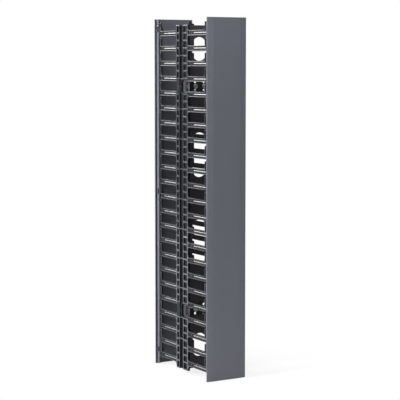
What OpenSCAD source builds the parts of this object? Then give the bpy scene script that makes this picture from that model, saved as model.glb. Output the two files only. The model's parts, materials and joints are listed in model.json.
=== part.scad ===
// Vertical cable manager for the side of an equipment rack.
// A steel spine carries moulded finger combs on both sides, and a sheet steel
// cover closes the front channel and the rear channel. Each cover hangs on two
// long hinge rods and opens to the left or to the right.
// Millimetres, +Z up, front towards -Y, origin under the middle of the part.

/* [Rack spacing] */
// Spacing of the fingers along the height, one rack unit
finger_spacing = 44.45; // [40:0.05:48]
// Fingers on each end section of a comb
end_fingers = 4; // [4:1:6]
// Fingers on each of the three inner sections of a comb
inner_fingers = 5; // [4:1:7]

/* [Covers] */
// Width of a cover
cover_w = 133; // [120:1:180]
// Depth from the face of the front cover to the face of the rear cover
overall_d = 308; // [290:1:360]
// Height of a cover above the centre of the top finger
cover_top_h = 43.5; // [42:0.5:60]
// Height of a cover below the centre of the bottom finger
cover_bottom_h = 32.5; // [30:0.5:60]
// Sheet thickness of a cover
cover_t = 1.5; // [1:0.1:2]
// Distance from a cover's edge to the outside of its flange
flange_inset = 8; // [6:0.5:12]
// Width of the margins of a cover, which are bent back a little
margin_w = 21; // [14:0.5:26]
// Angle that the margins are bent back by, in degrees
margin_angle = 4; // [0:0.5:4]
// Depth of a cover from its face to the end of its flange
flange_d = 13; // [11:0.5:15]
// Angle that a cover opens on either pair of hinges
open_angle = 95; // [60:5:95]

/* [Combs] */
// Height of a finger
finger_h = 15; // [12:0.5:20]
// Thickness of a finger
finger_t = 4.5; // [4:0.1:7]
// Radius of the corners where a window meets the spine
root_r = 7; // [3:0.5:9]
// Width of the upright head at the tip of a finger
head_w = 10; // [9:0.5:14]
// Slot left open between a head and the finger above it
head_slot = 5; // [4:0.5:9]
// Width of the raised rim round fingers and heads
rim_w = 2; // [1.2:0.1:2.6]
// Depth of the sunk faces inside the rims
face_sink = 2; // [1:0.1:2.5]
// Radius of the half round rib along a finger
rib_r = 1.9; // [1:0.1:2.2]
// Length of the half round rib along a finger
rib_l = 69; // [40:1:76]
// Thickness of a comb along the spine
strip_t = 7.5; // [7:0.1:10]
// Distance from the middle of the part to the root of the front fingers
front_root = 31; // [29:0.5:36]
// Distance from the middle of the part to the root of the rear fingers
rear_root = 35.5; // [34:0.5:40]
// Width of the sunk band between the two strips of a comb
band_w = 19.5; // [14:0.5:22]
// Distance from the middle of the part to the front edge of the sunk band
band_front = 3; // [1:0.5:6]
// Thickness of the comb at the bottom of the sunk band
band_floor = 1.5; // [1:0.1:3]
// Depth of the square pockets in the strips
pocket_sink = 4.2; // [2:0.1:4.6]
// Thickness of the cross ribs between two pockets
pocket_rib = 5; // [3:0.5:8]
// Gap between two comb sections
section_gap = 0.3; // [0.1:0.1:0.6]

/* [Spine] */
// Sheet thickness of the two spine channels
spine_t = 1.6; // [1.2:0.1:3]
// Height of the spine past the centres of the end fingers
spine_past = 23.5; // [12:0.5:28]
// Width of the holes that pass cables from front to rear
pass_w = 50; // [40:1:60]
// Height of the two tall pass holes
tall_pass_h = 133; // [90:1:150]
// Height of the two short pass holes
short_pass_h = 70; // [56:1:90]
// Height of a tall pass hole's centre from the middle finger
tall_pass_z = 130; // [110:1:150]
// Distance from an end of the spine to the nearest short pass hole
short_pass_end = 34.5; // [20:0.5:44]
// Radius of the rivets that join the two channels
rivet_r = 2; // [1.5:0.1:3]

/* [Rack brackets] */
// Height of the side openings through the combs
side_open_h = 39; // [36:0.5:40]
// Depth of the side openings past the middle of the part
side_open_rear = 6.5; // [4:0.5:8]
// Plate thickness of a rack bracket
bracket_t = 2.5; // [2:0.1:4]
// Height of a rack bracket
bracket_h = 38; // [34:0.5:38]
// Spacing of the two rack bolts in a bracket's end
bolt_spacing = 15.875; // [14:0.125:18]
// Radius of the holes for the rack bolts
bolt_hole_r = 3.5; // [2.5:0.1:4]
// Width of the slots in a bracket's back
slot_w = 12; // [9:0.5:14]
// Height of the slots in a bracket's back
slot_h = 34; // [24:1:34]
// Distance of the slots from the middle
slot_x = 15; // [12:1:24]

/* [Hinges] */
// Radius of a hinge rod
rod_r = 2; // [1.5:0.1:2.3]
// Distance from the outside of a cover's flange to the centre of its rod
rod_in = 5; // [4.8:0.1:6]
// Distance from a cover's face to the centre of its rods
rod_back = 11; // [10:0.1:11.5]
// Radial clearance of a rod in its seats and ears
rod_clear = 0.05; // [0.02:0.01:0.08]
// Height of a hinge clip
clip_h = 16; // [12:1:20]
// Wall of a hinge clip round its rod
clip_wall = 1.75; // [1.2:0.05:2]
// Thickness of a hinge ear
ear_t = 2; // [1.5:0.1:3]
// Gap along the rod between a clip and the ears beside it
ear_gap = 0.5; // [0.3:0.1:1]

/* [Hidden] */
$fn = 48;

// overlap used by cuts that run past a face
cut = 1;

// fingers, numbered from 1 at the top, and the sections that hold them
fingers = 2 * end_fingers + 3 * inner_fingers;
section_end = [end_fingers, end_fingers + inner_fingers, end_fingers + 2 * inner_fingers,
               end_fingers + 3 * inner_fingers, fingers];
cover_h = (fingers - 1) * finger_spacing + cover_top_h + cover_bottom_h;
function finger_z(i) = cover_bottom_h + (fingers - i) * finger_spacing;
mid_z = finger_z((fingers + 1) / 2);
function window_z(i) = finger_z(i) - finger_spacing / 2;
function section_first(s) = s == 0 ? 1 : section_end[s - 1] + 1;
spine_top = finger_z(1) + spine_past;
spine_bottom = finger_z(fingers) - spine_past;
window_h = finger_spacing - finger_h;
short_pass_z = (spine_top - spine_bottom - short_pass_h) / 2 - short_pass_end;

// combs stand flush with the flanges of the covers
comb_x = cover_w / 2 - flange_inset;
fold_x = cover_w / 2 - margin_w;
function face_y(x) = -overall_d / 2 + (x - fold_x) * tan(margin_angle);
function back_y(x) = face_y(x) + cover_t / cos(margin_angle);
flange_y = overall_d / 2 - flange_d;
rod_x = comb_x - rod_in;
rod_y = overall_d / 2 - rod_back;
tip_clear = 1;
// a cover's flange swings behind its rod at this reach, so the heads start past it
flange_tilt = 1.2;
flange_swing = rod_in * sin(open_angle) + max(0, -cos(open_angle)) * rod_in * flange_tilt;
tip_y = rod_y - flange_swing - tip_clear;
head_top = finger_spacing - finger_h / 2 - head_slot;
head_corner_r = 2.5;
inner_corner_r = 1;
finger_root_gap = 2;
dot_r = 1.5;
dot_h = 1;
dot_from_rib = 14;
front_rib_tip = 1.5;
fillet_top_r = 9;
fillet_bottom_r = 12;

// strips
band_rear = band_w - band_front;
strip_rim = 2.8;
root_rim = 4.2;
pocket_r = 1.5;
bridge_t = 3;
bridge_below = 1;
deep_window = 7;
opening_r = 8;
opening_rim = 4;

// fixings of the combs
boss_finger = end_fingers + 2;
boss_r = 5.5;
boss_screw_r = 2;
boss_head_r = 3.6;
boss_head_h = 2.4;
boss_head_sink = 0.4;
boss_head_gap = 0.3;
boss_y = (band_rear + rear_root) / 2;
screw_r = 1.5;
screw_bite = 2.4;
screw_head_r = 3.2;
screw_head_h = 2;
hole_clear = 0.1;
screw_end_gap = 0.3;
head_rim_share = 0.6;
head_top_share = 0.7;
bolt_top_share = 0.75;

// spine
spine_x = comb_x - strip_t;
spine_bend_r = 2.5;
front_flange = front_root - 2;
rear_flange = rear_root - 2.5;
rivet_x = 40;
rivet_head_r = 3.6;
rivet_head_h = 1.3;

// rack brackets
bracket_z = [window_z(end_fingers), window_z(fingers - end_fingers)];
bracket_x = spine_x - spine_t;
bracket_d = front_flange - 1;
bracket_bend_r = bracket_t + 1;
bracket_corner_r = 3;
bolt_y = -(spine_t + bracket_t + bracket_d) / 2;
access_h = 30;
access_rear = 6;
access_front = 26;
access_corner_r = 5;
spare_hole_r = 4;
spare_hole_z = (slot_h / 2 - spare_hole_r);
m6_r = 3;
m6_clear = 0.3;
washer_r = 7.5;
washer_t = 1.5;
bolt_head_r = 5;
bolt_head_h = 3.5;
nut_across = 10;
nut_h = 5;
thread_end = 1;

// hinges
clip_fingers = [1, (fingers + 1) / 2, fingers];
clip_r = rod_r + rod_clear + clip_wall;
clip_lip = 1.5;
clip_arm = 4.3;
peg_r = 1.5;
peg_z = 4;
peg_short = 0.5;
peg_y = tip_y - head_w / 2;
ear_wall = 1.2;
ear_r = rod_r + ear_wall;
ear_foot = 10;
ear_foot_t = 1.5;
collar_wall = 1.2;
collar_h = 4.2;
rod_end = 2;
notch_side = 0.5;
notch_reach = 1.7;
notch_d = clip_r + notch_reach;
head_mid = (head_top - finger_h / 2) / 2;
function clip_z(i) = finger_z(i) + head_mid;
ear_off = clip_h / 2 + ear_gap;
ears_top = clip_z(1) + ear_off + ear_t;
ears_bottom = clip_z(fingers) - ear_off - ear_t;
rod_top = max(cover_h - rod_end, ears_top + collar_h);
rod_bottom = min(rod_end, ears_bottom - collar_h);

steel_black = [0.10, 0.10, 0.11];
plastic_black = [0.13, 0.13, 0.14];
cover_grey = [0.38, 0.39, 0.42];
zinc = [0.72, 0.72, 0.74];
rod_black = [0.20, 0.20, 0.21];
clip_black = [0.18, 0.18, 0.19];

// ---- shared shapes ----

// Rounded rectangle from lower left a to upper right b
module rounded(a, b, r) {
    w = b[0] - a[0];
    h = b[1] - a[1];
    translate(a) {
        translate([r, 0]) square([w - 2 * r, h]);
        translate([0, r]) square([w, h - 2 * r]);
        for (x = [r, w - r], y = [r, h - r]) translate([x, y]) circle(r);
    }
}

// Long hole with full round ends, standing upright
module obround(w, h) {
    rounded([-w / 2, -h / 2], [w / 2, h / 2], w / 2 - 0.001);
}

// Drawing of a side, with Y to the right and Z up, made a plate from x0 to x1
module side_plate(x0, x1) {
    translate([x0, 0, 0]) rotate([90, 0, 90]) linear_extrude(x1 - x0) children();
}

// Drawing of the front, with X to the right and Z up, made a plate from y0 to y1
module front_plate(y0, y1) {
    translate([0, y1, 0]) rotate([90, 0, 0]) linear_extrude(y1 - y0) children();
}

// ---- combs ----

// One window, open towards the finger tips, measured from its root at y = 0
module window(reach, h, r) {
    translate([-reach, -h / 2]) square([reach - r, h]);
    translate([-reach, -h / 2 + r]) square([reach, h - 2 * r]);
    for (s = [-1, 1]) translate([-r, s * (h / 2 - r)]) circle(r);
}

// Space above or below the comb's end finger, rounded where it meets the spine
module end_space(reach, z0, z1, r, up) {
    translate([-reach, z0]) square([reach - r, z1 - z0]);
    translate([-reach, up ? z0 + r : z0]) square([reach, z1 - z0 - r]);
    translate([-r, up ? z0 + r : z1 - r]) circle(r);
}

// Side view of one section, without its heads
module comb_outline(first, last) {
    top = first == 1 ? spine_top : finger_z(first) + finger_spacing / 2 - section_gap / 2;
    bottom = last == fingers ? spine_bottom : finger_z(last) - finger_spacing / 2 + section_gap / 2;
    reach = overall_d;
    difference() {
        translate([-tip_y, bottom]) square([2 * tip_y, top - bottom]);
        for (i = [first - 1:last]) if (i > 0 && i < fingers) {
            deep = (i == end_fingers || i == fingers - end_fingers) ? deep_window : 0;
            translate([-front_root, window_z(i)]) window(reach, window_h, root_r);
            translate([rear_root - deep, window_z(i)]) mirror([1, 0])
                window(reach, window_h, root_r);
        }
        for (m = [0, 1]) mirror([m, 0]) translate([m == 0 ? -front_root : -rear_root, 0]) {
            if (first == 1)
                end_space(reach, finger_z(1) + finger_h / 2, top + cut + fillet_top_r,
                          fillet_top_r, true);
            if (last == fingers)
                end_space(reach, bottom - cut - fillet_bottom_r,
                          finger_z(fingers) - finger_h / 2, fillet_bottom_r, false);
        }
    }
}

// Upright head at the tip of the finger whose centre is at z
module head_outline(z) {
    translate([0, z]) rounded([-tip_y, -finger_h / 2], [-tip_y + head_w, head_top],
                              head_corner_r);
    translate([-tip_y, z - finger_h / 2]) square([head_w, finger_h]);
}

// Sunk face of a finger and its head, inside their rims
module finger_face(root, z) {
    x0 = -tip_y + rim_w;
    translate([0, z]) {
        rounded([x0, -finger_h / 2 + rim_w], [-root - finger_root_gap, finger_h / 2 - rim_w],
                inner_corner_r);
        rounded([x0, -finger_h / 2 + rim_w], [x0 + head_w - 2 * rim_w, head_top - rim_w],
                inner_corner_r);
    }
}

// Square pocket between two cross ribs, from a to b along the part
module pocket(a, b, z) {
    h = finger_spacing / 2 - pocket_rib;
    translate([0, z]) rounded([a, -h / 2], [b, h / 2], pocket_r);
}

// True where a pocket would run into a side opening
function beside_opening(i) = i == end_fingers || i == fingers - end_fingers;

module finger_details(i) {
    floor_x = -comb_x + face_sink;
    z = finger_z(i);
    rib_front = -tip_y + front_rib_tip;
    rib_rear = rear_root + finger_root_gap;
    translate([floor_x, rib_front, z]) rotate([-90, 0, 0]) cylinder(h = rib_l, r = rib_r);
    translate([floor_x, rib_rear, z]) rotate([-90, 0, 0]) cylinder(h = rib_l, r = rib_r);
    for (y = [rib_front + rib_l + dot_from_rib, rib_rear + rib_l + dot_from_rib])
        translate([floor_x + cut, y, z]) rotate([0, -90, 0]) cylinder(h = dot_h + cut, r = dot_r);
}

// One section of the left comb, from finger first to finger last
module comb_section(first, last) {
    outer = -comb_x;
    z_top = first == 1 ? spine_top : finger_z(first) + finger_spacing / 2 - section_gap / 2;
    z_bottom = last == fingers ? spine_bottom
                               : finger_z(last) - finger_spacing / 2 + section_gap / 2;
    difference() {
        union() {
            difference() {
                union() {
                    side_plate(outer, outer + finger_t) {
                        comb_outline(first, last);
                        for (i = [first:last], m = [0, 1])
                            mirror([m, 0]) head_outline(finger_z(i));
                    }
                    side_plate(outer, outer + strip_t) intersection() {
                        comb_outline(first, last);
                        translate([-front_root, z_bottom])
                            square([front_root + rear_root, z_top - z_bottom]);
                    }
                }
                // sunk faces of the fingers
                side_plate(outer - cut, outer + face_sink) for (i = [first:last]) {
                    finger_face(front_root, finger_z(i));
                    mirror([1, 0]) finger_face(rear_root, finger_z(i));
                }
                // pockets of the two strips
                side_plate(outer - cut, outer + pocket_sink)
                    for (i = [first:last], s = [-1, 1]) {
                        z = finger_z(i) + s * finger_spacing / 4;
                        open = beside_opening(s < 0 ? i : i - 1);
                        inside = z + finger_spacing / 4 - pocket_rib / 2 < spine_top
                            && z - finger_spacing / 4 + pocket_rib / 2 > spine_bottom;
                        if (!open && inside) {
                            pocket(-front_root + root_rim, -band_front - strip_rim, z);
                            pocket(band_rear + strip_rim, rear_root - root_rim, z);
                        }
                    }
                // sunk band between the strips
                side_plate(outer - cut, outer + strip_t - band_floor)
                    translate([-band_front, z_bottom - cut])
                        square([band_w, z_top - z_bottom + 2 * cut]);
            }
            for (i = [first:last]) finger_details(i);
            // ribs that bridge the sunk band
            for (i = [first:last]) {
                if (i >= end_fingers && i <= fingers + 1 - end_fingers
                    && (i - end_fingers) % 2 == 0)
                    band_bridge(finger_z(i));
                if (i == end_fingers - 2 || i == fingers - end_fingers + 2)
                    band_bridge(window_z(i) + bridge_t / 2 + section_gap);
            }
            // raised rim round the side openings
            for (z = bracket_z) intersection() {
                opening_ring(z);
                side_plate(outer, outer + strip_t)
                    translate([-front_root, z_bottom])
                        square([front_root + rear_root, z_top - z_bottom]);
            }
            // bosses for the outside screws
            for (i = [boss_finger, fingers + 1 - boss_finger]) if (i >= first && i <= last)
                translate([outer, boss_y, finger_z(i)]) rotate([0, 90, 0])
                    cylinder(h = strip_t, r = boss_r);
        }
        // side openings
        for (z = bracket_z) side_plate(outer - cut, outer + strip_t + cut) opening_outline(z, 0);
        // outside screws
        for (i = [boss_finger, fingers + 1 - boss_finger])
            translate([outer, boss_y, finger_z(i)]) rotate([0, 90, 0]) {
                translate([0, 0, -cut]) cylinder(h = boss_head_h + cut + boss_head_sink,
                                                 r = boss_head_r + boss_head_gap);
                cylinder(h = strip_t + cut, r = boss_screw_r + hole_clear);
            }
        // inside screws
        for (y = screw_ys(), z = [section_screw_z(first, last)])
            translate([outer + strip_t - screw_bite, y, z]) rotate([0, 90, 0])
                cylinder(h = screw_bite + cut, r = screw_r + hole_clear);
        // pegs of the hinge clips
        for (i = clip_fingers, z = [-peg_z, peg_z], s = [-1, 1])
            if (i >= first && i <= last)
                translate([outer - cut, s * peg_y, clip_z(i) + z]) rotate([0, 90, 0])
                    cylinder(h = finger_t + 2 * cut, r = peg_r + hole_clear);
    }
}

function screw_ys() = [-(front_root - root_rim + band_front + strip_rim) / 2,
                       (band_rear + strip_rim + rear_root - root_rim) / 2];
function section_screw_z(first, last) =
    finger_z(floor((first + last) / 2)) - finger_spacing / 4;

module band_bridge(z) {
    translate([-comb_x + bridge_below, -band_front - cut, z - bridge_t / 2])
        cube([strip_t - bridge_below, band_w + 2 * cut, bridge_t]);
}

// Side opening whose centre is at height z, grown by a margin
module opening_outline(z, grow) {
    h = side_open_h + 2 * grow;
    translate([side_open_rear + grow, z]) window(front_root + side_open_rear + grow + cut, h,
                                                 opening_r + grow);
}

module opening_ring(z) {
    side_plate(-comb_x, -comb_x + strip_t) intersection() {
        difference() {
            opening_outline(z, opening_rim);
            opening_outline(z, 0);
        }
        translate([-band_front - cut, z - finger_spacing / 2])
            square([band_w, finger_spacing]);
    }
}

module left_comb(s) {
    color(plastic_black) comb_section(section_first(s), section_end[s]);
}

module right_comb(s) {
    color(plastic_black) mirror([1, 0, 0]) comb_section(section_first(s), section_end[s]);
}

// Pan head screw driven in along -Z, its head above z = 0
module pan_screw(r, l, head_r, head_h) {
    translate([0, 0, -l]) cylinder(h = l + head_h / 2, r = r);
    rim_h = head_h * head_rim_share;
    cylinder(h = rim_h, r = head_r);
    translate([0, 0, rim_h])
        cylinder(h = head_h - rim_h, r1 = head_r, r2 = head_r * head_top_share);
}

module comb_screws() {
    for (s = [0:4], y = screw_ys())
        translate([-spine_x + spine_t, y, section_screw_z(section_first(s), section_end[s])])
            rotate([0, 90, 0])
                pan_screw(screw_r, spine_t + screw_bite - screw_end_gap, screw_head_r,
                          screw_head_h);
}

module left_comb_screws() {
    color(zinc) comb_screws();
}

module right_comb_screws() {
    color(zinc) mirror([1, 0, 0]) comb_screws();
}

module comb_boss_screws() {
    color(zinc) for (m = [0, 1], i = [boss_finger, fingers + 1 - boss_finger])
        mirror([m, 0, 0])
        translate([-comb_x + boss_head_h + boss_head_sink, boss_y, finger_z(i)])
            rotate([0, -90, 0])
                pan_screw(boss_screw_r, strip_t - boss_head_h + spine_t, boss_head_r,
                          boss_head_h);
}

// ---- spine ----

// Plan of one channel, opening towards -Y, with its flanges depth long
module channel_plan(depth) {
    difference() {
        channel_block(spine_x, depth, 0, spine_bend_r);
        channel_block(spine_x - spine_t, depth + cut, spine_t, spine_bend_r - spine_t);
    }
}

module channel_block(half, depth, back, r) {
    translate([-half, -depth]) square([2 * half, depth - back - r]);
    translate([-half + r, -back - r]) square([2 * (half - r), r]);
    for (s = [-1, 1]) translate([s * (half - r), -back - r]) circle(r);
}

module pass_holes() {
    for (s = [-1, 1]) {
        translate([0, mid_z + s * tall_pass_z]) obround(pass_w, tall_pass_h);
        translate([0, mid_z + s * short_pass_z]) obround(pass_w, short_pass_h);
    }
}

function rivet_zs() = [for (i = [1, 3, 6, 9]) for (s = [-1, 1])
                       mid_z + s * (i * finger_spacing - finger_spacing / 2)];

// One channel with its holes, opening towards -Y; front says which of the two
module spine_channel(depth, front) {
    difference() {
        translate([0, 0, spine_bottom]) linear_extrude(spine_top - spine_bottom)
            channel_plan(depth);
        front_plate(-spine_t - cut, cut) {
            pass_holes();
            for (z = rivet_zs(), s = [-1, 1]) translate([s * rivet_x, z])
                circle(rivet_r + hole_clear);
            for (z = bracket_z, s = [-1, 1]) {
                translate([s * slot_x, z]) circle(m6_r + m6_clear);
                for (t = [-1, 1]) translate([s * slot_x, z + t * spare_hole_z])
                    circle(spare_hole_r);
            }
        }
        // reach to the bracket's bolt holes
        if (front) for (z = bracket_z) side_plate(-spine_x - cut, spine_x + cut)
            rounded([-access_front, z - access_h / 2], [-access_rear, z + access_h / 2],
                    access_corner_r);
        // comb screws
        for (s = [-1, 1], k = [0:4]) {
            y = front ? screw_ys()[0] : -screw_ys()[1];
            z = section_screw_z(section_first(k), section_end[k]);
            translate([s * (spine_x + cut), y, z]) rotate([0, -s * 90, 0])
                cylinder(h = spine_t + 2 * cut, r = screw_r + hole_clear);
        }
        if (!front) for (s = [-1, 1], i = [boss_finger, fingers + 1 - boss_finger])
            translate([s * (spine_x + cut), -boss_y, finger_z(i)]) rotate([0, -s * 90, 0])
                cylinder(h = spine_t + 2 * cut, r = boss_screw_r + hole_clear);
    }
}

module front_spine_channel() {
    color(steel_black) spine_channel(front_flange, true);
}

module rear_spine_channel() {
    color(steel_black) mirror([0, 1, 0]) spine_channel(rear_flange, false);
}

module channel_rivets() {
    color(steel_black) for (z = rivet_zs(), s = [-1, 1])
        translate([s * rivet_x, 0, z]) rotate([90, 0, 0]) {
            cylinder(h = 2 * spine_t + rivet_head_h, r = rivet_r, center = true);
            for (m = [0, 1]) mirror([0, 0, m]) translate([0, 0, spine_t])
                cylinder(h = rivet_head_h, r1 = rivet_head_r,
                         r2 = rivet_head_r * head_top_share);
        }
}

// ---- rack brackets ----

// Plan of a bracket, a plate bent round the inside of the front channel
module bracket_plan() {
    difference() {
        channel_block(bracket_x, bracket_d, spine_t, bracket_bend_r);
        channel_block(bracket_x - bracket_t, bracket_d + cut, spine_t + bracket_t,
                      bracket_bend_r - bracket_t);
    }
}

module rack_bracket(z) {
    color(steel_black) difference() {
        intersection() {
            translate([0, 0, z - bracket_h / 2]) linear_extrude(bracket_h) bracket_plan();
            side_plate(-bracket_x - cut, bracket_x + cut)
                rounded([-bracket_d, z - bracket_h / 2],
                        [cut + bracket_corner_r, z + bracket_h / 2], bracket_corner_r);
        }
        front_plate(-spine_t - bracket_t - cut, -spine_t + cut)
            for (s = [-1, 1]) translate([s * slot_x, z]) obround(slot_w, slot_h);
        for (t = [-1, 1]) translate([0, bolt_y, z + t * bolt_spacing / 2]) rotate([0, 90, 0])
            cylinder(h = 2 * bracket_x + 2 * cut, r = bolt_hole_r, center = true);
    }
}

module bracket_bolts() {
    color(zinc) for (z = bracket_z, s = [-1, 1])
        translate([s * slot_x, -spine_t - bracket_t, z]) rotate([90, 0, 0]) {
            rim_h = bolt_head_h * head_rim_share;
            grip = bracket_t + 2 * spine_t + nut_h + thread_end;
            cylinder(h = washer_t, r = washer_r);
            translate([0, 0, washer_t]) cylinder(h = rim_h, r = bolt_head_r);
            translate([0, 0, washer_t + rim_h])
                cylinder(h = bolt_head_h - rim_h, r1 = bolt_head_r,
                         r2 = bolt_head_r * bolt_top_share);
            translate([0, 0, -grip]) cylinder(h = grip + washer_t, r = m6_r);
        }
}

module bracket_nuts() {
    color(zinc) for (z = bracket_z, s = [-1, 1])
        translate([s * slot_x, spine_t, z]) rotate([-90, 0, 0]) difference() {
            cylinder(h = nut_h, r = nut_across / 2 / cos(30), $fn = 6);
            translate([0, 0, -cut]) cylinder(h = nut_h + 2 * cut, r = m6_r + rod_clear);
        }
}

// ---- hinges, drawn at the front left and mirrored to the other corners ----

module at_corner(right, rear) {
    mirror([right ? 1 : 0, 0, 0]) mirror([0, rear ? 1 : 0, 0]) children();
}

module hinge_clip(z) {
    inner = -comb_x + finger_t;
    translate([0, 0, z - clip_h / 2]) linear_extrude(clip_h) difference() {
        union() {
            translate([-rod_x, -rod_y]) circle(clip_r);
            translate([-rod_x - clip_r, -rod_y - clip_lip]) square([2 * clip_r, clip_lip]);
            translate([inner, -rod_y]) square([clip_arm, rod_y - tip_y + head_w - 1]);
        }
        translate([-rod_x, -rod_y]) circle(rod_r + rod_clear);
        translate([-rod_x - rod_r - rod_clear, -rod_y - clip_r - cut])
            square([2 * (rod_r + rod_clear), clip_r + cut]);
    }
    for (s = [-1, 1]) translate([inner, -peg_y, z + s * peg_z]) rotate([0, -90, 0])
        translate([0, 0, -cut]) cylinder(h = finger_t - peg_short + cut, r = peg_r);
}

module hinge_clips(right, rear) {
    color(clip_black) at_corner(right, rear) for (i = clip_fingers) hinge_clip(clip_z(i));
}

// Bent ear of a cover, its foot welded to the cover's back
module hinge_ear(z, up) {
    x_in = rod_x - ear_r;
    x_out = rod_x + ear_r;
    y_in = back_y(x_in);
    y_out = back_y(x_out);
    translate([0, 0, z]) mirror([0, 0, up ? 0 : 1]) {
        linear_extrude(ear_t) difference() {
            union() {
                translate([-rod_x, -rod_y]) circle(ear_r);
                polygon([[-x_in, y_in], [-x_in, -rod_y], [-x_out, -rod_y], [-x_out, y_out]]);
            }
            translate([-rod_x, -rod_y]) circle(rod_r + rod_clear);
        }
        linear_extrude(ear_foot) polygon([[-x_in, y_in], [-x_in, y_in + ear_foot_t],
                                          [-x_out, y_out + ear_foot_t], [-x_out, y_out]]);
    }
}

module hinge_ears(rear) {
    color(cover_grey) for (m = [false, true]) at_corner(m, rear) for (i = clip_fingers) {
        hinge_ear(clip_z(i) + ear_off, true);
        hinge_ear(clip_z(i) - ear_off, false);
    }
}

module hinge_rod(right, rear) {
    color(rod_black) at_corner(right, rear) translate([-rod_x, -rod_y, rod_bottom])
        cylinder(h = rod_top - rod_bottom, r = rod_r);
}

// Collar pressed on the rod, resting on the end ear
module rod_collar(z) {
    translate([0, 0, z]) difference() {
        cylinder(h = collar_h, r = rod_r + collar_wall);
        translate([0, 0, -cut]) cylinder(h = collar_h + 2 * cut, r = rod_r + rod_clear / 2);
    }
}

module rod_collars(right, rear) {
    color(clip_black) at_corner(right, rear) translate([-rod_x, -rod_y, 0]) {
        rod_collar(ears_top);
        rod_collar(ears_bottom - collar_h);
    }
}

// ---- covers ----

// Plan of a cover's left half: face, bent margin, folded hem and inset flange
module half_cover_plan() {
    hem_x = (margin_w - cover_t + cover_t * sin(margin_angle)) / cos(margin_angle);
    return_x = (comb_x - cover_t / 2 - fold_x) / cos(margin_angle);
    flange_from = face_y(comb_x) + cover_t / 2;
    bend_y = face_y(comb_x) + 2 * cover_t;
    translate([-fold_x, -overall_d / 2]) {
        square([fold_x, cover_t]);
        rotate(-margin_angle) {
            translate([-hem_x, 0]) square([hem_x, cover_t]);
            translate([-hem_x, cover_t]) circle(cover_t);
            translate([-hem_x, cover_t]) square([hem_x - return_x, cover_t]);
        }
    }
    translate([-comb_x, flange_from]) square([cover_t, -flange_y - flange_from]);
    // bend between hem and flange
    polygon([[-comb_x - cover_t, bend_y - cover_t / 2], [-comb_x + cover_t / 2, bend_y - cover_t / 2],
             [-comb_x + cover_t / 2, bend_y + cover_t], [-comb_x, bend_y + cover_t],
             [-comb_x - cover_t, bend_y]]);
}

module cover(rear) {
    color(cover_grey) mirror([0, rear ? 1 : 0, 0]) difference() {
        linear_extrude(cover_h) union() {
            half_cover_plan();
            mirror([1, 0]) half_cover_plan();
        }
        // notches that clear the hinge clips
        for (m = [0, 1], i = clip_fingers) mirror([m, 0, 0])
            translate([-comb_x - cut, -rod_y - notch_d, clip_z(i) - clip_h / 2 - notch_side])
                cube([cover_t + cut + notch_side, notch_d + rod_y - flange_y + cut,
                      clip_h + 2 * notch_side]);
    }
}

front_spine_channel();
rear_spine_channel();
channel_rivets();
rack_bracket(bracket_z[0]);  // upper_rack_bracket
rack_bracket(bracket_z[1]);  // lower_rack_bracket
bracket_bolts();
bracket_nuts();
left_comb(0);  // left_comb_top
left_comb(1);  // left_comb_upper
left_comb(2);  // left_comb_middle
left_comb(3);  // left_comb_lower
left_comb(4);  // left_comb_bottom
right_comb(0);  // right_comb_top
right_comb(1);  // right_comb_upper
right_comb(2);  // right_comb_middle
right_comb(3);  // right_comb_lower
right_comb(4);  // right_comb_bottom
left_comb_screws();
right_comb_screws();
comb_boss_screws();
hinge_clips(false, false);  // front_left_hinge_clips
hinge_clips(true, false);  // front_right_hinge_clips
hinge_clips(false, true);  // rear_left_hinge_clips
hinge_clips(true, true);  // rear_right_hinge_clips
cover(false);  // front_cover
hinge_ears(false);  // front_hinge_ears
hinge_rod(false, false);  // front_left_hinge_rod
hinge_rod(true, false);  // front_right_hinge_rod
rod_collars(false, false);  // front_left_rod_caps
rod_collars(true, false);  // front_right_rod_caps
cover(true);  // rear_cover
hinge_ears(true);  // rear_hinge_ears
hinge_rod(false, true);  // rear_left_hinge_rod
hinge_rod(true, true);  // rear_right_hinge_rod
rod_collars(false, true);  // rear_left_rod_caps
rod_collars(true, true);  // rear_right_rod_caps
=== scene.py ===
"""Finishes the parts of a vertical cable manager: moulded combs, folded spine,
painted covers, hinges and fixings, with their materials and a plain studio stage."""

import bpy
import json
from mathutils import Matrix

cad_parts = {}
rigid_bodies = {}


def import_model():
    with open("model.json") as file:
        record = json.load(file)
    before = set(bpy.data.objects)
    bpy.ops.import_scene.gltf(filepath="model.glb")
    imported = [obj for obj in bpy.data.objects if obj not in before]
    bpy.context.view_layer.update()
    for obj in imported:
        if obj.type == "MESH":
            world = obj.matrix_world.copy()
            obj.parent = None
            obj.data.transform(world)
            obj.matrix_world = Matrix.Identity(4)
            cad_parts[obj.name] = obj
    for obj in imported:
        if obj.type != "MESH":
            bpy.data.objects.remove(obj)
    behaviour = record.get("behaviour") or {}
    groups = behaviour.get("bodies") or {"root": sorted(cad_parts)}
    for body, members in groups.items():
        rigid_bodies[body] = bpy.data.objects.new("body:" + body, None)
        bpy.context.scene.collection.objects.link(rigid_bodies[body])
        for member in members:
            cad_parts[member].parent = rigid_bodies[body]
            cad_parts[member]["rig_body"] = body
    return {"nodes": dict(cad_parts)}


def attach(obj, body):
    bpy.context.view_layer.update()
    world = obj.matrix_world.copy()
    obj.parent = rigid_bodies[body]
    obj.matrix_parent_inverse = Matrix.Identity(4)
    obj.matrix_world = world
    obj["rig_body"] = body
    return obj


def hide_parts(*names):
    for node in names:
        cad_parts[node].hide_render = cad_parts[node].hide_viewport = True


bl_info = {
    "name": "Vertical Cable Manager",
    "version": (1, 0, 0),
    "blender": (4, 5, 0),
    "location": "View3D > Sidebar > Cable Manager",
    "description": "Finishes a rack-side cable manager and sets up a plain stage round it",
    "category": "Object",
}

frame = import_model()

import json
from math import copysign, cos, pi, radians, sin, tan

import bpy
from mathutils import Matrix, Vector

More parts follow.
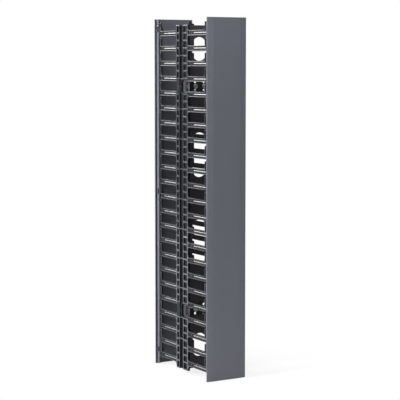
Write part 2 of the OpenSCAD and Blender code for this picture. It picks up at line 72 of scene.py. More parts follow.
MM = 0.001
SECTIONS = ("top", "upper", "middle", "lower", "bottom")
SIDES = {"left": -1.0, "right": 1.0}
FACES = {"front": -1.0, "rear": 1.0}

# Sizes of the part that the pieces here are matched to
FINGERS = 23
FINGER_PITCH = 44.45 * MM
BOTTOM_FINGER = 32.5 * MM
UPPER_OPENING = BOTTOM_FINGER + 18.5 * FINGER_PITCH
LOWER_OPENING = BOTTOM_FINGER + 3.5 * FINGER_PITCH
COMB_FACE = 58.5 * MM
RIM_STEP = 57.0 * MM
ROOT_FRONT = 29.5 * MM
ROOT_REAR = 34.0 * MM
COVER_WIDTH = 133.0 * MM
COVER_HEIGHT = 1053.9 * MM
COVER_INSIDE = 140.0 * MM
MARGIN = 21.0 * MM
MARGIN_ANGLE = radians(4.0)
HEM_EDGE = 65.5 * MM
HEM_DEPTH = 149.594 * MM
COMB_SCREW_SEAT = 49.4 * MM
BOSS_SCREW_SEAT = 55.7 * MM
BOLT_LENGTH = 11.7 * MM

# Sizes of what is modelled here
BEND_ROLL = 1.2 * MM
HINGE_EDGE = 0.4 * MM
STRIP_WIDTH = 6.2 * MM
STRIP_SHEET = 0.4 * MM
STRIP_MIDDLE = 62.0 * MM
STRIP_END = 3.0 * MM
STRIP_GAP = 0.02 * MM
SHARP_ANGLE = 38.0
TWIST_STEP = 0.7

# How far the painted shade on the matt web round a side opening reaches, and where its edge
# starts to fade
PAINTED_SHADE_HEIGHT = (22.5 * MM, 20.5 * MM)
PAINTED_SHADE_DEPTH = (33.5 * MM, 32.0 * MM)

# Each finish is a material of this file and the slot that the part's record gives it
MOULDED_PLASTIC = ("black_plastic_moulded", "comb_plastic")
MATT_PLASTIC = ("black_plastic_matt", "clip_plastic")
GREY_PAINT = ("grey_paint_satin", "grey_paint")
POWDER_COAT = ("black_powder_coat", "black_steel")
# A darker copy of the powder coat on the brackets: their black coat with painted shade where
# they show inside the side openings
BRACKET_SHADED_COAT = ("black_coat_shaded_copy", "black_steel")
ZINC = ("zinc_plated_steel", "zinc_steel")
# The rods' black plating, which also paints shade in the corner beside each cover flange
BLACK_ZINC_AND_SHADE = ("black_zinc_and_painted_shade", "rod_steel")
# The boss screws are zinc steel; this dark finish on them is painted shade in the bosses
SHADED_BOSS_SCREW = ("black_zinc_and_painted_shade", "zinc_steel")

WORN_PAINT = (0.26, 0.27, 0.29)
WORN_MOULDING = (0.075, 0.078, 0.085)
WORN_COAT = (0.20, 0.20, 0.21)
WORN_CLIP = (0.10, 0.10, 0.105)
WORN_PLATING = (0.30, 0.30, 0.32)
PASSIVATED = (0.60, 0.58, 0.50)
LIGHT_DUST = (0.30, 0.29, 0.27)
DARK_DUST = (0.16, 0.15, 0.14)

STAGE_MIDDLE = (0.0, 0.0, 0.55)


# ---- settings ----

class CablePlasticSettings(bpy.types.PropertyGroup):
    """Finish of the moulded parts"""

    comb_colour: bpy.props.FloatVectorProperty(
        name="Comb colour", description="Colour of the moulded combs",
        subtype="COLOR", size=3, min=0.0, max=1.0, default=(0.0115, 0.0115, 0.0140))
    # Lighter than the comb colour: a painted highlight along the rims and ribs
    rim_painted_highlight: bpy.props.FloatVectorProperty(
        name="Rim colour", description="Colour of the polished rims and ribs of the combs",
        subtype="COLOR", size=3, min=0.0, max=1.0, default=(0.030, 0.031, 0.036))
    comb_rough: bpy.props.FloatProperty(
        name="Comb roughness", description="Roughness of the sunk faces of the combs",
        min=0.0, max=1.0, default=0.40)
    comb_edge: bpy.props.FloatProperty(
        name="Comb edge", description="Rounding of a comb's edges",
        subtype="DISTANCE", unit="LENGTH", min=0.0, max=0.002, default=0.0006)
    clip_colour: bpy.props.FloatVectorProperty(
        name="Clip colour", description="Colour of the hinge clips and rod caps",
        subtype="COLOR", size=3, min=0.0, max=1.0, default=(0.030, 0.030, 0.033))


class CableMetalSettings(bpy.types.PropertyGroup):
    """Finish of the sheet steel, the rods and the fixings"""

    cover_colour: bpy.props.FloatVectorProperty(
        name="Cover colour", description="Colour of the painted covers",
        subtype="COLOR", size=3, min=0.0, max=1.0, default=(0.108, 0.116, 0.137))
    cover_rough: bpy.props.FloatProperty(
        name="Cover roughness", description="Roughness of the paint",
        min=0.0, max=1.0, default=0.42)
    spine_colour: bpy.props.FloatVectorProperty(
        name="Spine colour", description="Colour of the spine's powder coat",
        subtype="COLOR", size=3, min=0.0, max=1.0, default=(0.048, 0.046, 0.056))
    # Darker than the spine colour: the brackets' black coat with painted shade where they
    # show inside the side openings
    bracket_shaded_colour: bpy.props.FloatVectorProperty(
        name="Bracket colour", description="Colour of the rack brackets' coat",
        subtype="COLOR", size=3, min=0.0, max=1.0, default=(0.010, 0.010, 0.012))
    zinc_colour: bpy.props.FloatVectorProperty(
        name="Zinc colour", description="Colour of the zinc plating",
        subtype="COLOR", size=3, min=0.0, max=1.0, default=(0.62, 0.63, 0.65))
    # Dark for the rods' black plating and for painted shade in the corner beside each cover
    # flange
    rod_colour: bpy.props.FloatVectorProperty(
        name="Rod colour", description="Colour of the hinge rods' black plating",
        subtype="COLOR", size=3, min=0.0, max=1.0, default=(0.07, 0.07, 0.075))
    sheet_edge: bpy.props.FloatProperty(
        name="Sheet edge", description="Rounding of the punched edges of the sheet steel",
        subtype="DISTANCE", unit="LENGTH", min=0.0, max=0.001, default=0.0003)


class CableStageSettings(bpy.types.PropertyGroup):
    """Camera, lamps and floor"""

    camera_place: bpy.props.FloatVectorProperty(
        name="Camera place", description="Where the camera stands",
        subtype="TRANSLATION", unit="LENGTH", size=3, default=(-2.1607, -3.5850, 0.9353))
    camera_turn: bpy.props.FloatProperty(
        name="Camera turn", description="Heading of the camera from straight ahead",
        subtype="ANGLE", unit="ROTATION", default=radians(31.11))
    camera_dip: bpy.props.FloatProperty(
        name="Camera dip", description="How far the camera looks down",
        subtype="ANGLE", unit="ROTATION", default=radians(5.72))
    lens: bpy.props.FloatProperty(
        name="Lens", description="Focal length in millimetres on a 36 mm sensor",
        min=10.0, max=400.0, default=126.81)
    floor_radius: bpy.props.FloatProperty(
        name="Floor radius", description="Radius of the floor",
        subtype="DISTANCE", unit="LENGTH", min=1.0, max=40.0, default=14.0)
    sky_level: bpy.props.FloatProperty(
        name="Sky level", description="Strength of the light from all round",
        min=0.0, max=2.0, default=0.06)
    surround: bpy.props.FloatProperty(
        name="Surround", description="How much of the white surround glossy parts mirror",
        subtype="FACTOR", min=0.0, max=1.0, default=0.28)


# ---- small tools ----

def settings():
    """The settings of the scene, in their groups."""
    return bpy.context.scene.cable_manager


def pick(*objects):
    """Selects these objects alone and makes the last one active."""
    if bpy.context.object and bpy.context.object.mode != "OBJECT":
        bpy.ops.object.mode_set(mode="OBJECT")
    bpy.ops.object.select_all(action="DESELECT")
    for o in objects:
        o.select_set(True)
        bpy.context.view_layer.objects.active = o


def extent(points):
    """Lowest and highest corner round some points."""
    return (Vector([min(p[k] for p in points) for k in range(3)]),
            Vector([max(p[k] for p in points) for k in range(3)]))


def copy_of(node_name, name):
    """A merged copy of a frame node as a new piece, with its flat faces made whole."""
    mesh = frame["nodes"][node_name].data.copy()
    mesh.name = name
    mesh.materials.clear()
    piece = bpy.data.objects.new(name, mesh)
    bpy.context.scene.collection.objects.link(piece)
    pick(piece)
    bpy.ops.mesh.customdata_custom_splitnormals_clear()
    bpy.ops.object.mode_set(mode="EDIT")
    bpy.ops.mesh.select_all(action="SELECT")
    bpy.ops.mesh.remove_doubles(threshold=0.01 * MM)
    bpy.ops.mesh.mark_sharp(clear=True)
    bpy.ops.mesh.dissolve_limited(angle_limit=radians(0.5))
    bpy.ops.object.mode_set(mode="OBJECT")
    return piece


def add_mark_slots(piece):
    """Two empty material slots; a rounding gives its new faces the second one."""
    for _ in range(2):
        piece.data.materials.append(None)


def mark_rounded(piece, angle=SHARP_ANGLE):
    """Turns the faces that a rounding made into a mark for wear, and shades the piece."""
    mesh = piece.data
    mark = mesh.attributes.new("worn_edge", "FLOAT", "FACE")
    for face in mesh.polygons:
        mark.data[face.index].value = 1.0 if face.material_index == 1 else 0.0
        face.material_index = 0
    mesh.materials.clear()
    pick(piece)
    bpy.ops.object.shade_smooth_by_angle(angle=radians(angle))
    mod = piece.modifiers.new("even", "WEIGHTED_NORMAL")
    mod.keep_sharp = True
    bpy.ops.object.modifier_apply(modifier="even")


def round_edges(piece, width, segments=2, angle=SHARP_ANGLE):
    """Rounds the edges of a piece and marks the rounded faces for wear."""
    pick(piece)
    mod = piece.modifiers.new("round", "BEVEL")
    mod.width = width
    mod.segments = segments
    mod.limit_method = "ANGLE"
    mod.angle_limit = radians(angle)
    mod.miter_outer = "MITER_ARC"
    mod.use_clamp_overlap = True
    mod.material = 1
    add_mark_slots(piece)
    bpy.ops.object.modifier_apply(modifier="round")
    mark_rounded(piece, angle)


def bevel_chosen(piece, choose, **bevel):
    """Bevels the edges of a piece that choose(mesh) selects."""
    pick(piece)
    bpy.context.tool_settings.mesh_select_mode = (False, True, False)
    bpy.ops.object.mode_set(mode="EDIT")
    bpy.ops.mesh.select_all(action="DESELECT")
    bpy.ops.object.mode_set(mode="OBJECT")
    choose(piece.data)
    bpy.ops.object.mode_set(mode="EDIT")
    bpy.ops.mesh.bevel(segments=2, affect="EDGES", **bevel)
    bpy.ops.object.mode_set(mode="OBJECT")
    bpy.context.tool_settings.mesh_select_mode = (True, False, False)


def cut_through(piece, heights, depths):
    """Cuts the faces of a piece at these heights and depths, so that none is wider."""
    pick(piece)
    bpy.ops.object.mode_set(mode="EDIT")
    level = [((0, 0, z), (0, 0, 1)) for z in heights]
    upright = [((0, y, 0), (0, 1, 0)) for y in depths]
    for place, axis in level + upright:
        bpy.ops.mesh.select_all(action="SELECT")
        bpy.ops.mesh.bisect(plane_co=place, plane_no=axis)
    bpy.ops.object.mode_set(mode="OBJECT")


def pick_rim_edges(mesh, width):
    """Selects the outer edges of a comb's rims, but none too near a short edge to round."""
    short = 1.3 * width
    corner = 0.64    # cosine between the two faces of an edge that turns by 50 degrees
    sideways = 0.99
    level = [abs(abs(v.co.x) - COMB_FACE) < 0.02 * MM for v in mesh.vertices]
    walls = {}
    for face in mesh.polygons:
        for edge_key in face.edge_keys:
            walls.setdefault(edge_key, []).append(face.normal)
    tight = set()
    for edge in mesh.edges:
        a, b = edge.vertices
        length = (mesh.vertices[a].co - mesh.vertices[b].co).length
        if level[a] != level[b] and length < short:
            tight.update((a, b))
    for edge in mesh.edges:
        a, b = edge.vertices
        sides = walls.get(edge.key, ())
        edge.select = (level[a] and level[b] and len(sides) == 2
                       and sides[0].dot(sides[1]) < corner
                       and max(abs(n.x) for n in sides) > sideways
                       and a not in tight and b not in tight)


def round_comb(piece, width):
    """Rounds the rims of a comb and marks the rounded faces for wear."""
    low, high = extent([v.co for v in piece.data.vertices])
    steps = [BOTTOM_FINGER + FINGER_PITCH * i / 2 for i in range(-1, 2 * FINGERS)]
    add_mark_slots(piece)
    cut_through(piece, [z for z in steps if low.z < z < high.z], (-ROOT_FRONT, ROOT_REAR))
    bevel_chosen(piece, lambda mesh: pick_rim_edges(mesh, width), offset=width,
                 clamp_overlap=False, material=1)
    mark_rounded(piece)


def finish_piece(piece, finish, body, *nodes):
    """Gives a piece its material and its body, and hides the nodes it stands for."""
    material, slot = finish
    piece.data.materials.clear()
    piece.data.materials.append(bpy.data.materials[material])
    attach(piece, body)
    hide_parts(*nodes)


def body_of_node(node_name):
    """The body that a frame node rides on."""
    return frame["nodes"][node_name]["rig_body"]


def refine(node_name, ending, finish, width):
    """A rounded, finished copy of a frame node that stands for it."""
    piece = copy_of(node_name, f"{node_name}_{ending}")
    round_edges(piece, width)
    finish_piece(piece, finish, body_of_node(node_name), node_name)


# ---- effects shared by the materials ----

def new_effect(name, inputs, outputs):
    """An empty node group with these number inputs and outputs, and its two end nodes."""
    group = bpy.data.node_groups.new(name, "ShaderNodeTree")
    for label, value in inputs:
        socket = group.interface.new_socket(
            name=label, in_out="INPUT", socket_type="NodeSocketFloat")
        socket.default_value = value
    for label in outputs:
        group.interface.new_socket(
            name=label, in_out="OUTPUT", socket_type="NodeSocketFloat")
    start = group.nodes.new("NodeGroupInput")
    end = group.nodes.new("NodeGroupOutput")
    start.location = (-900, 0)
    end.location = (700, 0)
    return group, start, end


def node(tree, kind, place=(0, 0), **values):
    """A new node at a place in its tree, with these properties set."""
    n = tree.nodes.new(kind)
    n.location = place
    for key, value in values.items():
        setattr(n, key, value)
    return n


def maths(tree, operation, a, b, place=(0, 0)):
    """The result of one operation on two numbers or sockets."""
    n = node(tree, "ShaderNodeMath", place, operation=operation)
    for socket, value in zip(n.inputs, (a, b)):
        if isinstance(value, (int, float)):
            socket.default_value = value
        else:
            tree.links.new(value, socket)
    return n.outputs[0]


def ramp(tree, source, low, high, place=(0, 0)):
    """A smooth rise from 0 to 1 while the source goes from low to high."""
    n = node(tree, "ShaderNodeMapRange", place, interpolation_type="SMOOTHSTEP")
    n.inputs["From Min"].default_value = low
    n.inputs["From Max"].default_value = high
    tree.links.new(source, n.inputs["Value"])
    return n.outputs[0]


def grain_effect():
    """Fine and coarse unevenness of a surface."""
    group, start, end = new_effect(
        "surface_grain", (("Fine Scale", 900.0), ("Coarse Scale", 14.0)),
        ("Fine", "Coarse"))
    place = node(group, "ShaderNodeTexCoord", (-900, 300))
    fine = node(group, "ShaderNodeTexNoise", (-400, 200))
    fine.inputs["Detail"].default_value = 3.0
    coarse = node(group, "ShaderNodeTexNoise", (-400, -200))
    coarse.inputs["Detail"].default_value = 4.0
    coarse.inputs["Roughness"].default_value = 0.6
    link = group.links.new
    for noise, label in ((fine, "Fine"), (coarse, "Coarse")):
        link(place.outputs["Object"], noise.inputs["Vector"])
        link(start.outputs[label + " Scale"], noise.inputs["Scale"])
        link(noise.outputs["Fac"], end.inputs[label])


def wear_effect():
    """Broken wear along the rounded edges."""
    group, start, end = new_effect(
        "edge_wear", (("Edge", 0.0), ("Scale", 160.0), ("Amount", 0.5)), ("Mask",))
    place = node(group, "ShaderNodeTexCoord", (-900, 300))
    noise = node(group, "ShaderNodeTexNoise", (-500, 200))
    noise.inputs["Detail"].default_value = 5.0
    link = group.links.new
    link(place.outputs["Object"], noise.inputs["Vector"])
    link(start.outputs["Scale"], noise.inputs["Scale"])
    broken = ramp(group, noise.outputs["Fac"], 0.42, 0.62, (-200, 200))
    worn = maths(group, "MULTIPLY", broken, start.outputs["Edge"], (50, 100))
    link(maths(group, "MULTIPLY", worn, start.outputs["Amount"], (250, 0)),
         end.inputs["Mask"])


def dust_effect():
    """Thin dust on faces that look up."""
    group, start, end = new_effect(
        "dust_film", (("Scale", 40.0), ("Amount", 0.2)), ("Mask",))
    place = node(group, "ShaderNodeTexCoord", (-900, 300))
    shape = node(group, "ShaderNodeNewGeometry", (-900, -200))
    split = node(group, "ShaderNodeSeparateXYZ", (-650, -200))
    noise = node(group, "ShaderNodeTexNoise", (-500, 200))
    noise.inputs["Detail"].default_value = 6.0
    link = group.links.new
    link(place.outputs["Object"], noise.inputs["Vector"])
    link(start.outputs["Scale"], noise.inputs["Scale"])
    link(shape.outputs["Normal"], split.inputs[0])
    up = ramp(group, split.outputs["Z"], 0.55, 0.95, (-300, -200))
    patchy = ramp(group, noise.outputs["Fac"], 0.3, 0.7, (-200, 200))
    both = maths(group, "MULTIPLY", up, patchy, (50, 0))
    link(maths(group, "MULTIPLY", both, start.outputs["Amount"], (250, 0)),
         end.inputs["Mask"])


def rim_effect():
    """The raised rims and ribs of the combs, which stand out past their sunk faces; the mask
    gives them gloss and a painted highlight.
    The web round the two side openings stays matt and keeps the dark comb colour there as
    painted shade."""
    group, start, end = new_effect(
        "rim_gloss_and_painted_light", (("From", RIM_STEP - 0.2 * MM), ("To", RIM_STEP + 0.2 * MM),
                        ("Upper Opening", UPPER_OPENING), ("Lower Opening", LOWER_OPENING)),
        ("Mask",))
    place = node(group, "ShaderNodeTexCoord", (-1100, 300))
    split = node(group, "ShaderNodeSeparateXYZ", (-900, 300))
    rise = node(group, "ShaderNodeMapRange", (0, 300), interpolation_type="SMOOTHSTEP")
    link = group.links.new
    link(place.outputs["Object"], split.inputs[0])
    link(maths(group, "ABSOLUTE", split.outputs["X"], 0.0, (-400, 400)), rise.inputs["Value"])
    link(start.outputs["From"], rise.inputs["From Min"])
    link(start.outputs["To"], rise.inputs["From Max"])
    steps = [maths(group, "ABSOLUTE",
                   maths(group, "SUBTRACT", split.outputs["Z"], start.outputs[label],
                         (-700, y)), 0.0, (-550, y))
             for label, y in (("Upper Opening", 0), ("Lower Opening", -200))]
    # Painted shade: round each side opening the mask fades out, so the rims there stay dark
    # and matt
    height = ramp(group, maths(group, "MINIMUM", *steps, (-400, -100)), *PAINTED_SHADE_HEIGHT,
                  (-200, -100))
    depth = ramp(group, maths(group, "ABSOLUTE", split.outputs["Y"], 0.0, (-400, -400)),
                 *PAINTED_SHADE_DEPTH, (-200, -400))
    shade = maths(group, "MULTIPLY", height, depth, (0, -200))
    keep = maths(group, "SUBTRACT", 1.0, shade, (200, -100))
    link(maths(group, "MULTIPLY", rise.outputs[0], keep, (400, 0)), end.inputs["Mask"])


def brush_effect():
    """Fine lines drawn along the length of a rod or wire."""
    group, start, end = new_effect(
        "drawn_lines", (("Across", 2600.0), ("Along", 30.0)), ("Lines",))
    place = node(group, "ShaderNodeTexCoord", (-900, 300))
    size = node(group, "ShaderNodeCombineXYZ", (-700, -100))
    scale = node(group, "ShaderNodeVectorMath", (-500, 100), operation="MULTIPLY")
    noise = node(group, "ShaderNodeTexNoise", (-300, 100))
    noise.inputs["Scale"].default_value = 1.0
    noise.inputs["Detail"].default_value = 2.0
    link = group.links.new
    link(start.outputs["Across"], size.inputs["X"])
    link(start.outputs["Across"], size.inputs["Y"])
    link(start.outputs["Along"], size.inputs["Z"])
    link(place.outputs["Object"], scale.inputs[0])
    link(size.outputs[0], scale.inputs[1])
    link(scale.outputs[0], noise.inputs["Vector"])
    link(noise.outputs["Fac"], end.inputs["Lines"])


# ---- materials ----

def effect(tree, name, place=(0, 0), **values):
    """A node that uses one of the shared effects, with these inputs set."""
    n = node(tree, "ShaderNodeGroup", place)
    n.node_tree = bpy.data.node_groups[name]
    for key, value in values.items():
        n.inputs[key.replace("_", " ").title()].default_value = value
    return n


def blend_colour(tree, mask, a, b, place=(0, 0)):
    """Mixes two colours, each a plain colour or a socket, by a mask."""
    n = node(tree, "ShaderNodeMix", place, data_type="RGBA")
    tree.links.new(mask, n.inputs[0])
    for socket, value in ((n.inputs[6], a), (n.inputs[7], b)):
        if isinstance(value, bpy.types.NodeSocket):
            tree.links.new(value, socket)
        else:
            socket.default_value = (*value, 1.0)
    return n.outputs[2]


def spread(tree, source, low, high, place=(0, 0)):
    """A value from low to high while the source goes from 0 to 1."""
    n = node(tree, "ShaderNodeMapRange", place)
    n.inputs["To Min"].default_value = low
    n.inputs["To Max"].default_value = high
    tree.links.new(source, n.inputs["Value"])
    return n.outputs[0]


def new_material(name, specular=0.5, metallic=0.0):
    """A new material's node tree and its shader."""
    material = bpy.data.materials.new(name)
    material.use_nodes = True
    tree = material.node_tree
    shader = tree.nodes["Principled BSDF"]
    shader.inputs["Specular IOR Level"].default_value = specular
    shader.inputs["Metallic"].default_value = metallic
    return tree, shader


def shaded(colour, share):
    """A colour made darker or lighter by a share."""
    return tuple(min(1.0, c * share) for c in colour)


def mottled(tree, grain, colour, dark, light):
    """A colour that drifts between two shares of itself over the surface."""
    return blend_colour(tree, grain.outputs["Coarse"], shaded(colour, dark),
                        shaded(colour, light), (-700, 200))


def with_wear(tree, under, colour, scale, amount):
    """Adds the colour of what shows where the rounded edges are worn."""
    mark = node(tree, "ShaderNodeAttribute", (-1150, -200), attribute_name="worn_edge")
    wear = effect(tree, "edge_wear", (-900, -200), scale=scale, amount=amount)
    tree.links.new(mark.outputs["Fac"], wear.inputs["Edge"])
    return blend_colour(tree, wear.outputs["Mask"], under, colour, (-400, 100))


def with_dust(tree, under, colour, scale, amount):
    """Adds thin dust on what looks up."""
    dust = effect(tree, "dust_film", (-900, -500), scale=scale, amount=amount)
    return blend_colour(tree, dust.outputs["Mask"], under, colour, (-200, 100))


def set_rough(tree, shader, source, low, high):
    """Makes the roughness follow a source between two values."""
    tree.links.new(spread(tree, source, low, high, (-400, -200)), shader.inputs["Roughness"])


def set_bump(tree, shader, source, strength, distance):
    """Makes the surface's fine relief follow a source."""
    bump = node(tree, "ShaderNodeBump", (-200, -300))
    bump.inputs["Strength"].default_value = strength
    bump.inputs["Distance"].default_value = distance
    tree.links.new(source, bump.inputs["Height"])
    tree.links.new(bump.outputs[0], shader.inputs["Normal"])


def paint_material():
    """Satin grey paint of the covers and their ears."""
    s = settings().metal
    tree, shader = new_material("grey_paint_satin", specular=0.45)
    grain = effect(tree, "surface_grain", (-900, 200), fine_scale=620.0, coarse_scale=5.0)
    colour = mottled(tree, grain, s.cover_colour, 0.96, 1.04)
    colour = with_wear(tree, colour, WORN_PAINT, 120.0, 0.55)
    colour = with_dust(tree, colour, LIGHT_DUST, 30.0, 0.25)
    tree.links.new(colour, shader.inputs["Base Color"])
    set_rough(tree, shader, grain.outputs["Coarse"], s.cover_rough - 0.04,
              s.cover_rough + 0.06)
    set_bump(tree, shader, grain.outputs["Fine"], 0.16, 0.2 * MM)


def comb_material():
    """Moulded black plastic, matt on the sunk faces and polished on the raised rims, which
    also take a lighter colour as a painted highlight.
    """
    s = settings().plastic
    tree, shader = new_material("black_plastic_moulded", specular=0.09)
    shader.inputs["Coat Roughness"].default_value = 0.13
    link = tree.links.new
    grain = effect(tree, "surface_grain", (-900, 200), fine_scale=1500.0, coarse_scale=22.0)
    rims = effect(tree, "rim_gloss_and_painted_light", (-900, 500))
    colour = mottled(tree, grain, s.comb_colour, 0.85, 1.15)
    # Painted highlight: the rims and ribs take the lighter rim colour
    colour = blend_colour(tree, rims.outputs["Mask"], colour, s.rim_painted_highlight, (-600, 300))
    colour = with_wear(tree, colour, WORN_MOULDING, 90.0, 0.5)
    colour = with_dust(tree, colour, DARK_DUST, 60.0, 0.10)
    link(colour, shader.inputs["Base Color"])
    link(rims.outputs["Mask"], shader.inputs["Coat Weight"])
    polish = maths(tree, "MULTIPLY", rims.outputs["Mask"], -0.16, (-600, -300))
    rough = spread(tree, grain.outputs["Coarse"], s.comb_rough - 0.05, s.comb_rough + 0.07,
                   (-600, -100))
    link(maths(tree, "ADD", rough, polish, (-400, -200)), shader.inputs["Roughness"])
    set_bump(tree, shader, grain.outputs["Fine"], 0.12, 0.1 * MM)


def coat_material(name, colour):
    """Powder coat on steel in one colour."""
    tree, shader = new_material(name, specular=0.4)
    grain = effect(tree, "surface_grain", (-900, 200), fine_scale=1100.0, coarse_scale=9.0)
    colour = mottled(tree, grain, colour, 0.85, 1.2)
    colour = with_wear(tree, colour, WORN_COAT, 150.0, 0.7)
    colour = with_dust(tree, colour, DARK_DUST, 40.0, 0.2)
    tree.links.new(colour, shader.inputs["Base Color"])
    set_rough(tree, shader, grain.outputs["Fine"], 0.42, 0.62)
    set_bump(tree, shader, grain.outputs["Fine"], 0.3, 0.2 * MM)


def clip_material():
    """Matt black plastic of the clips, the rod caps and the hem strips; on the hem strips it
    is painted shade.
    """
    s = settings().plastic
    tree, shader = new_material("black_plastic_matt", specular=0.4)
    grain = effect(tree, "surface_grain", (-900, 200), fine_scale=1800.0, coarse_scale=60.0)
    colour = mottled(tree, grain, s.clip_colour, 0.85, 1.2)
    colour = with_wear(tree, colour, WORN_CLIP, 300.0, 0.5)
    tree.links.new(colour, shader.inputs["Base Color"])
    set_rough(tree, shader, grain.outputs["Fine"], 0.48, 0.66)
    set_bump(tree, shader, grain.outputs["Fine"], 0.25, 0.1 * MM)


def zinc_material():
    """Bright zinc plating with a faint yellow tint in patches."""
    s = settings().metal
    tree, shader = new_material("zinc_plated_steel", metallic=1.0)
    lines = effect(tree, "drawn_lines", (-900, 0))
    grain = effect(tree, "surface_grain", (-900, 200), fine_scale=2000.0, coarse_scale=120.0)
    colour = mottled(tree, grain, s.zinc_colour, 0.82, 1.12)
    tint = ramp(tree, grain.outputs["Fine"], 0.45, 0.75, (-600, 400))
    colour = blend_colour(tree, tint, colour, PASSIVATED, (-350, 300))
    tree.links.new(colour, shader.inputs["Base Color"])
    set_rough(tree, shader, lines.outputs["Lines"], 0.26, 0.44)
    set_bump(tree, shader, lines.outputs["Lines"], 0.15, 0.05 * MM)


def rod_material():
    """Black zinc plating of the drawn rods, which also paints shade in the corners where they
    stand, and a dark finish on the boss screws as painted shade in the bosses.
    """
    s = settings().metal
    tree, shader = new_material("black_zinc_and_painted_shade", metallic=1.0)
    lines = effect(tree, "drawn_lines", (-900, 0))
    grain = effect(tree, "surface_grain", (-900, 200), fine_scale=2000.0, coarse_scale=90.0)
    colour = mottled(tree, grain, s.rod_colour, 0.8, 1.25)
    colour = with_wear(tree, colour, WORN_PLATING, 300.0, 0.6)
    tree.links.new(colour, shader.inputs["Base Color"])
    set_rough(tree, shader, lines.outputs["Lines"], 0.32, 0.50)
    set_bump(tree, shader, lines.outputs["Lines"], 0.15, 0.05 * MM)


def sees_white(tree):
    """How much of the white surround a ray sees: all from the camera, a share in gloss."""
    path = node(tree, "ShaderNodeLightPath", (-900, 400))
    gloss = maths(tree, "MAXIMUM", path.outputs["Is Glossy Ray"],
                  path.outputs["Is Transmission Ray"], (-700, 300))
    share = maths(tree, "MULTIPLY", gloss, settings().stage.surround, (-500, 300))
    return maths(tree, "MAXIMUM", path.outputs["Is Camera Ray"], share, (-300, 400))


def floor_material():
    """A matt floor that fades into the white surround away from the object."""
    material = bpy.data.materials.new("pale_floor")
    material.use_nodes = True
    tree = material.node_tree
    tree.nodes.clear()
    link = tree.links.new
    out = node(tree, "ShaderNodeOutputMaterial", (600, 0))
    matt = node(tree, "ShaderNodeBsdfDiffuse", (0, 100))
    matt.inputs["Color"].default_value = (0.9, 0.9, 0.9, 1.0)
    white = node(tree, "ShaderNodeEmission", (0, -100))
    place = node(tree, "ShaderNodeTexCoord", (-900, 0))
    reach = node(tree, "ShaderNodeVectorMath", (-700, 0), operation="LENGTH")
    link(place.outputs["Object"], reach.inputs[0])
    far = ramp(tree, reach.outputs["Value"], 0.15, 0.6, (-500, 0))
    share = spread(tree, far, 0.8, 1.0, (-300, 0))
    mask = maths(tree, "MULTIPLY", sees_white(tree), share, (-100, 300))
    mix = node(tree, "ShaderNodeMixShader", (300, 0))
    link(mask, mix.inputs[0])
    link(matt.outputs[0], mix.inputs[1])
    link(white.outputs[0], mix.inputs[2])
    link(mix.outputs[0], out.inputs["Surface"])
    return material


def white_world(level):
    """Weak light from all round, with plain white where the camera sees past the floor."""
    world = bpy.data.worlds.new("studio")
    world.use_nodes = True
    tree = world.node_tree
    tree.nodes.clear()
    link = tree.links.new
    out = node(tree, "ShaderNodeOutputWorld", (600, 0))
    sky = node(tree, "ShaderNodeBackground", (0, 100))
    sky.inputs["Strength"].default_value = level
    white = node(tree, "ShaderNodeBackground", (0, -100))
    white.inputs["Strength"].default_value = 1.0
    for n in (sky, white):
        n.inputs["Color"].default_value = (1.0, 1.0, 1.0, 1.0)
    mix = node(tree, "ShaderNodeMixShader", (300, 0))
    link(sees_white(tree), mix.inputs[0])
    link(sky.outputs[0], mix.inputs[1])
    link(white.outputs[0], mix.inputs[2])
    link(mix.outputs[0], out.inputs["Surface"])
    bpy.context.scene.world = world


# ---- operators ----

class CABLE_OT_materials(bpy.types.Operator):
    """Make the materials of all pieces and the effects that they share"""
    bl_idname = "cable.materials"
    bl_label = "Materials"

    def execute(self, context):
        metal = settings().metal
        grain_effect()
        wear_effect()
        dust_effect()
        brush_effect()
        rim_effect()
        paint_material()
        comb_material()
        coat_material("black_powder_coat", metal.spine_colour)
        # The brackets' darker copy of the black coat paints shade where they show inside the
        # side openings
        coat_material("black_coat_shaded_copy", metal.bracket_shaded_colour)
        clip_material()
        zinc_material()
        rod_material()
        return {"FINISHED"}


class CABLE_OT_combs(bpy.types.Operator):
    """Round and finish the ten moulded comb sections"""
    bl_idname = "cable.combs"
    bl_label = "Combs"

    def execute(self, context):
        width = settings().plastic.comb_edge
        for side in SIDES:
            for section in SECTIONS:
                name = f"{side}_comb_{section}"
                piece = copy_of(name, name + "_moulding")
                round_comb(piece, width)
                finish_piece(piece, MOULDED_PLASTIC, body_of_node(name), name)
        return {"FINISHED"}


class CABLE_OT_spine(bpy.types.Operator):
    """Round and finish the two spine channels and the rack brackets"""
    bl_idname = "cable.spine"
    bl_label = "Spine"

    def execute(self, context):
        width = settings().metal.sheet_edge
        for face in FACES:
            refine(f"{face}_spine_channel", "folded", POWDER_COAT, width)
        for level in ("upper", "lower"):
            refine(f"{level}_rack_bracket", "folded", BRACKET_SHADED_COAT, width)
        return {"FINISHED"}


def pick_bends(mesh):
    """Selects the long upright edges where a cover's margins leave its flat middle."""
    bend = COVER_WIDTH / 2 - MARGIN
    for edge in mesh.edges:
        a, b = (mesh.vertices[i].co for i in edge.vertices)
        upright = abs(a.x - b.x) < 0.01 * MM and abs(a.z - b.z) > COVER_HEIGHT / 2
        at_bend = abs(abs(a.x) - bend) < 0.3 * MM and abs(a.y) > COVER_INSIDE
        edge.select = upright and at_bend


